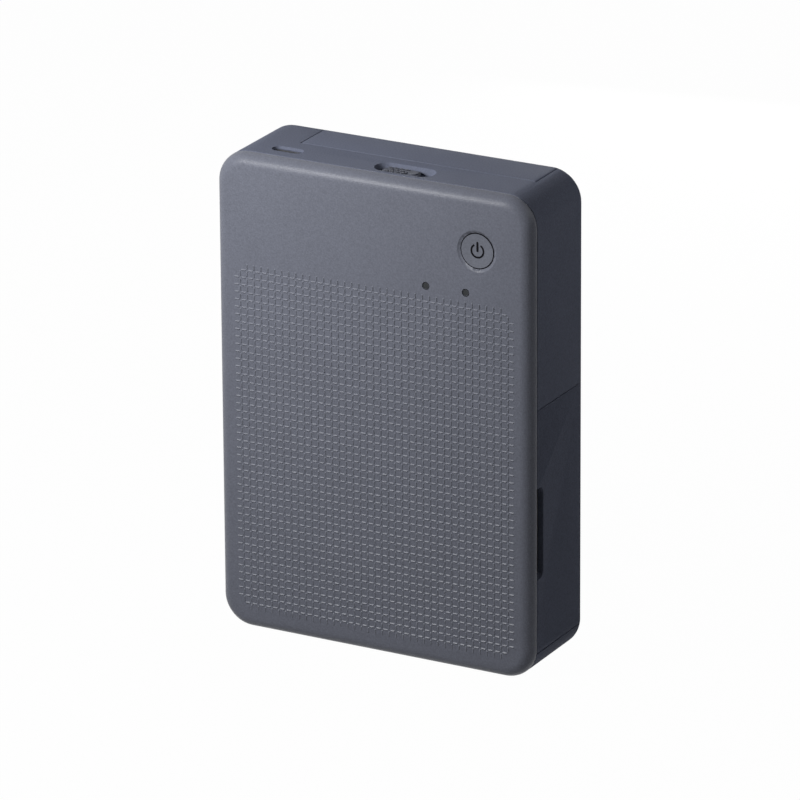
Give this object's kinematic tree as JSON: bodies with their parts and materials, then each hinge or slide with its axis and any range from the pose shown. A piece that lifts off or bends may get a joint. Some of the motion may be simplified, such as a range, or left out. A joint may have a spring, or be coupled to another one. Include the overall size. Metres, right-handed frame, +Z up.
{
  "type": "compact photo printer",
  "caption": "Compact photo printer standing on its short end, with a hinged front cover, a cassette door, a paper exit flap and a ribbon printing mechanism inside.",
  "frame": {"origin": "middle of the underside, on the surface that the printer stands on", "axes": "+Z up, +X to the right seen from the front, +Y from the front cover to the back"},
  "size_m": [0.1022, 0.033, 0.1458],
  "materials": {
    "case_plastic": "fine-grained matte charcoal",
    "button_plastic": "matte charcoal with a dark power mark",
    "black_plastic": "black moulded plastic",
    "knob_plastic": "dark grey, gripped",
    "light_lens": "smoked lens",
    "pale_plastic": "natural acetal",
    "steel": "bright steel",
    "zinc_sheet": "zinc-plated sheet",
    "port_metal": "nickel-plated",
    "aluminium": "extruded",
    "brass": "turned",
    "rubber": "black rubber",
    "felt_pad": "brown cork rubber",
    "board": "green solder mask",
    "chip": "black epoxy",
    "battery_foil": "laminated foil",
    "ceramic": "glazed ceramic",
    "ribbon_film": "yellow dye ribbon",
    "used_film": "used ribbon"
  },
  "bodies": {
    "case": {"main_casing": "case_plastic", "back_cover": "case_plastic", "cover_hinge_pins": "steel", "door_hinge_pin": "steel", "flap_hinge_pin": "steel", "latch_spring": "steel", "port_shell": "port_metal", "port_tongue": "black_plastic", "main_board": "board", "board_chips": "chip", "battery_pack": "battery_foil", "left_side_plate": "zinc_sheet", "right_side_plate": "zinc_sheet", "paper_tray": "black_plastic", "turn_guide": "black_plastic", "inner_guide": "black_plastic", "rear_guide": "black_plastic", "exit_chute": "black_plastic", "feed_belt": "rubber", "feed_motor": "steel", "arm_shaft": "steel", "cam_motor": "steel", "cassette_case": "pale_plastic", "ink_ribbon": "ribbon_film", "case_screws": "chip", "frame_screws": "steel", "rubber_feet": "rubber", "separation_pad": "felt_pad"},
    "cover": {"front_cover": "case_plastic", "latch_hooks": "black_plastic", "button_board": "board", "button_dome": "steel", "charge_light": "light_lens", "status_light": "light_lens", "pressure_springs": "steel"},
    "pressure": {"pressure_plate": "zinc_sheet"},
    "button": {"power_button": "button_plastic"},
    "door": {"cassette_door": "case_plastic"},
    "flap": {"exit_flap": "case_plastic"},
    "latch": {"slide_knob": "knob_plastic", "latch_bar": "zinc_sheet"},
    "capstan": {"capstan_roller": "steel", "capstan_gear": "pale_plastic"},
    "pickup": {"pickup_shaft": "steel", "pickup_roller": "rubber", "pickup_gear": "pale_plastic"},
    "idler": {"idler_gear": "pale_plastic"},
    "rotor": {"motor_pinion": "brass"},
    "takeup": {"takeup_gear": "pale_plastic", "takeup_spool": "used_film"},
    "pinch": {"pinch_roller": "rubber"},
    "platen": {"platen_shaft": "steel", "platen_roller": "rubber"},
    "supply": {"supply_spool": "ribbon_film"},
    "head": {"head_arm": "zinc_sheet", "head_springs": "steel", "heat_sink": "aluminium", "thermal_head": "ceramic"},
    "cam": {"cam_shaft": "pale_plastic"}
  },
  "joints": [
    {"name": "cover_hinge", "type": "hinge", "parent": "case", "child": "cover", "pos_m": [0, -0.0136, 0.00285], "axis": [1, 0, 0], "range_deg": [0, 90]},
    {"name": "pressure_slide", "type": "slide", "parent": "cover", "child": "pressure", "axis": [0, -1, 0], "range_m": [0, 0.0005], "stiffness_N_per_m": 400, "springref_m": -0.0002},
    {"name": "button_press", "type": "slide", "parent": "cover", "child": "button", "axis": [0, 1, 0], "range_m": [0, 0.0004], "stiffness_N_per_m": 500, "springref_m": -0.0002},
    {"name": "door_hinge", "type": "hinge", "parent": "case", "child": "door", "pos_m": [0.0472, 0.0149, 0.00805], "axis": [0, 0, 1], "range_deg": [0, 100]},
    {"name": "flap_hinge", "type": "hinge", "parent": "case", "child": "flap", "pos_m": [0.00565, 0.0149, 0.1419], "axis": [-1, 0, 0], "range_deg": [0, 95]},
    {"name": "latch_slide", "type": "slide", "parent": "case", "child": "latch", "axis": [1, 0, 0], "range_m": [0, 0.004], "stiffness_N_per_m": 150, "springref_m": -0.001},
    {"name": "capstan_spin", "type": "hinge", "parent": "case", "child": "capstan", "pos_m": [0, 0.0091, 0.08], "axis": [1, 0, 0], "continuous": true},
    {"name": "pickup_spin", "type": "hinge", "parent": "case", "child": "pickup", "pos_m": [0, -0.0062, 0.01112], "axis": [1, 0, 0], "continuous": true},
    {"name": "idler_spin", "type": "hinge", "parent": "case", "child": "idler", "pos_m": [-0.0362, 0.005, 0.0908], "axis": [1, 0, 0], "continuous": true},
    {"name": "motor_spin", "type": "hinge", "parent": "case", "child": "rotor", "pos_m": [-0.0362, -0.001, 0.09886], "axis": [1, 0, 0], "continuous": true},
    {"name": "takeup_spin", "type": "hinge", "parent": "case", "child": "takeup", "pos_m": [0, 0.001, 0.0195], "axis": [1, 0, 0], "continuous": true},
    {"name": "pinch_spin", "type": "hinge", "parent": "case", "child": "pinch", "pos_m": [0, 0.00505, 0.08], "axis": [1, 0, 0], "continuous": true},
    {"name": "platen_spin", "type": "hinge", "parent": "case", "child": "platen", "pos_m": [0, 0.01055, 0.044], "axis": [1, 0, 0], "continuous": true},
    {"name": "supply_spin", "type": "hinge", "parent": "case", "child": "supply", "pos_m": [0, 0.001, 0.0685], "axis": [1, 0, 0], "continuous": true},
    {"name": "head_press", "type": "hinge", "parent": "case", "child": "head", "pos_m": [0, -0.0062, 0.084], "axis": [1, 0, 0], "range_deg": [0, 1.8], "stiffness_Nm_per_rad": 1, "springref_deg": -8.59},
    {"name": "cam_turn", "type": "hinge", "parent": "case", "child": "cam", "pos_m": [0, -0.0046, 0.09], "axis": [1, 0, 0], "continuous": true}
  ],
  "couplings": [
    {"joint": "pickup_spin", "follows": "capstan_spin", "ratio": 1},
    {"joint": "idler_spin", "follows": "capstan_spin", "ratio": -0.64286},
    {"joint": "motor_spin", "follows": "capstan_spin", "ratio": 1.5},
    {"joint": "takeup_spin", "follows": "capstan_spin", "ratio": -0.69231},
    {"joint": "pinch_spin", "follows": "capstan_spin", "ratio": -1.1111},
    {"joint": "cam_turn", "follows": "head_press", "ratio": 50}
  ]
}
